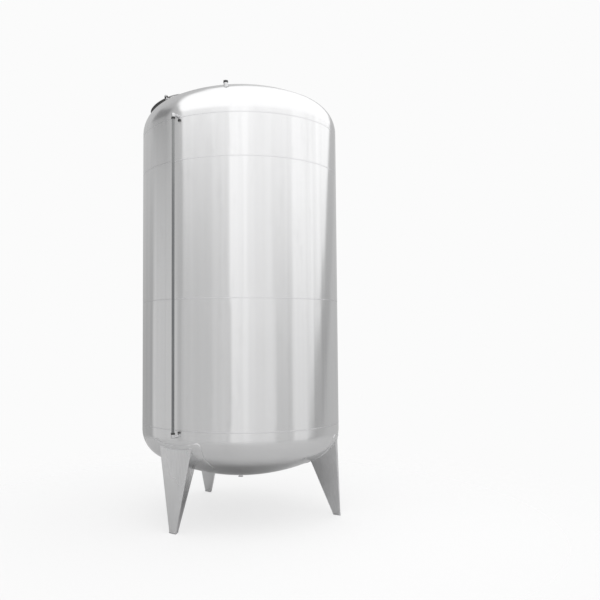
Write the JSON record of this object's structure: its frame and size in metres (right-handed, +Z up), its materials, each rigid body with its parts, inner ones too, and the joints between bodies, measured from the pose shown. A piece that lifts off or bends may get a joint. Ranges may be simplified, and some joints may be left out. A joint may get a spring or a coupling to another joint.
{
  "type": "vertical storage tank",
  "caption": "Upright cylindrical steel tank with dished ends on tapered legs, with a roof manhole, a top nozzle, a level gauge and a bottom drain.",
  "frame": {"origin": "on the floor under the tank's axis, level with the undersides of the three foot plates", "axes": "+Z up along the tank's axis, -Y towards the front, +X to the right seen from the front"},
  "size_m": [1.9, 1.9, 4.1379],
  "materials": {
    "polished_shell": "mirror polished stainless steel",
    "polished_heads": "mirror polished stainless steel",
    "polished_legs": "polished stainless steel",
    "polished_pads": "polished stainless steel",
    "foot_plates": "satin stainless steel",
    "steel_fittings": "polished stainless steel",
    "clamp_bolts": "dull stainless steel",
    "black_rubber": "matt black rubber",
    "black_cap": "matt black plastic",
    "clear_tube": "clear plastic tube"
  },
  "bodies": {
    "root": {"shell_bottom_course": "polished_shell", "shell_middle_course": "polished_shell", "shell_top_course": "polished_shell", "bottom_head": "polished_heads", "top_head": "polished_heads", "front_left_leg": "polished_legs", "front_right_leg": "polished_legs", "rear_leg": "polished_legs", "front_left_leg_pad": "polished_pads", "front_right_leg_pad": "polished_pads", "rear_leg_pad": "polished_pads", "front_left_foot_plate": "foot_plates", "front_right_foot_plate": "foot_plates", "rear_foot_plate": "foot_plates", "manhole_neck": "steel_fittings", "manhole_gasket": "black_rubber", "manhole_cover": "steel_fittings", "manhole_clamp_front": "clamp_bolts", "manhole_clamp_inner": "clamp_bolts", "manhole_clamp_rear": "clamp_bolts", "manhole_handle": "steel_fittings", "top_nozzle": "steel_fittings", "top_nozzle_cap": "black_cap", "drain_nozzle": "steel_fittings", "level_gauge_bottom_fitting": "steel_fittings", "level_gauge_top_fitting": "steel_fittings", "level_gauge_tube": "clear_tube"}
  },
  "joints": []
}
